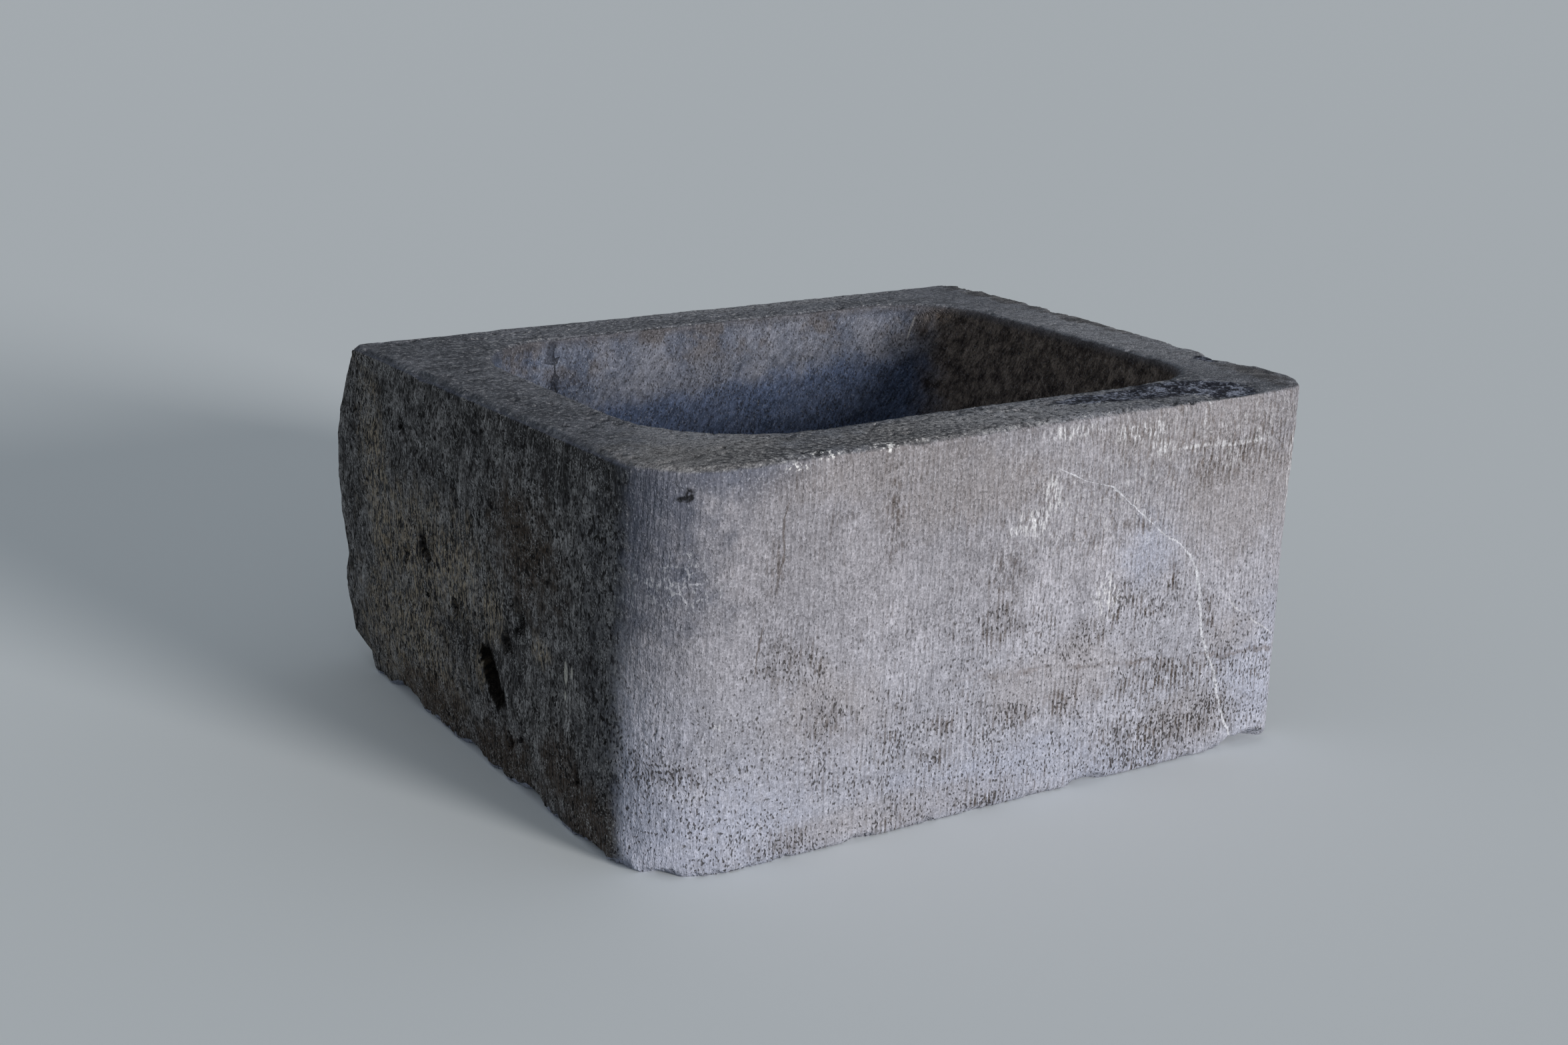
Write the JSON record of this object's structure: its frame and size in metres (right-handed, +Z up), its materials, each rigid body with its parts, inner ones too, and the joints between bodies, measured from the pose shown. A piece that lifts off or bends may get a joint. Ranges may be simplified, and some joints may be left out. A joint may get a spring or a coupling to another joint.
{
  "type": "stone sink",
  "caption": "Hand-cut stone sink: a solid block with a deep rounded basin, coved floor falling to a drain hole, dressed front and sides, rock-faced back.",
  "frame": {"origin": "on the ground under the middle of the block", "axes": "+Z up; +X along the front from its left end to its right end, the longest side; the dressed front faces -Y and the rock-faced back faces +Y"},
  "size_m": [0.729, 0.6756, 0.35],
  "materials": {
    "limestone": "matt, hand-tooled and weathered"
  },
  "bodies": {
    "root": {"sink_block": "limestone"}
  },
  "joints": []
}
